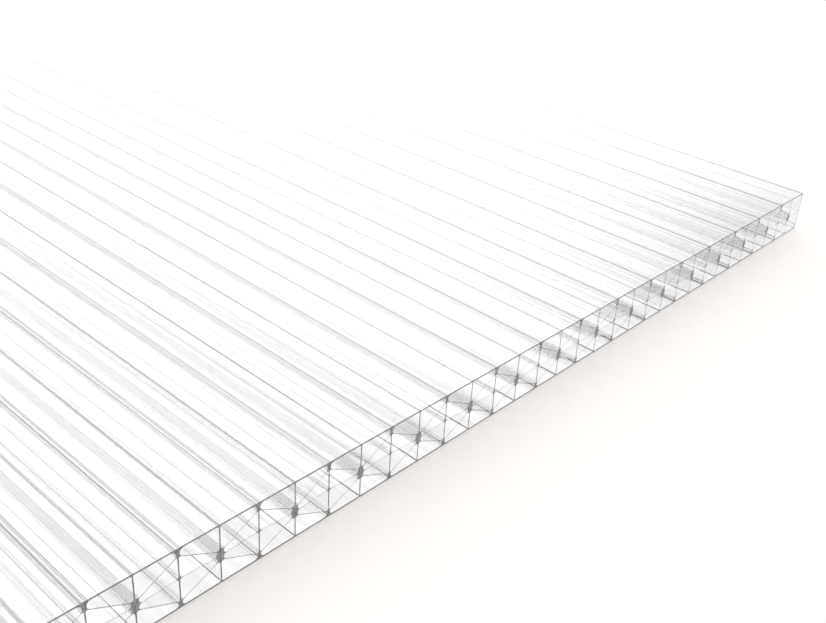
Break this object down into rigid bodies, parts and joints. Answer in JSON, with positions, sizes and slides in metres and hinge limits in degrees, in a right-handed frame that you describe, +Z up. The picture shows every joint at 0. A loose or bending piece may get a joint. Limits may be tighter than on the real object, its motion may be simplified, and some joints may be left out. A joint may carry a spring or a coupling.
{
  "type": "multiwall polycarbonate sheet",
  "caption": "Clear hollow glazing sheet: two flat skins joined by upright ribs, a centre wall and diagonal webs that fan out of knots on every second rib, extruded in one piece with open flutes along its length.",
  "frame": {"origin": "middle of the underside, halfway along the length and the width", "axes": "+Z up through the thickness, +Y along the flutes (length), +X across the flutes (width)"},
  "size_m": [0.98, 2, 0.016],
  "materials": {
    "clear_polycarbonate": "clear, colourless extruded polycarbonate with glossy skins and inner walls; the sawn flute ends look grey"
  },
  "bodies": {
    "root": {"multiwall_sheet": "clear_polycarbonate"}
  },
  "joints": []
}
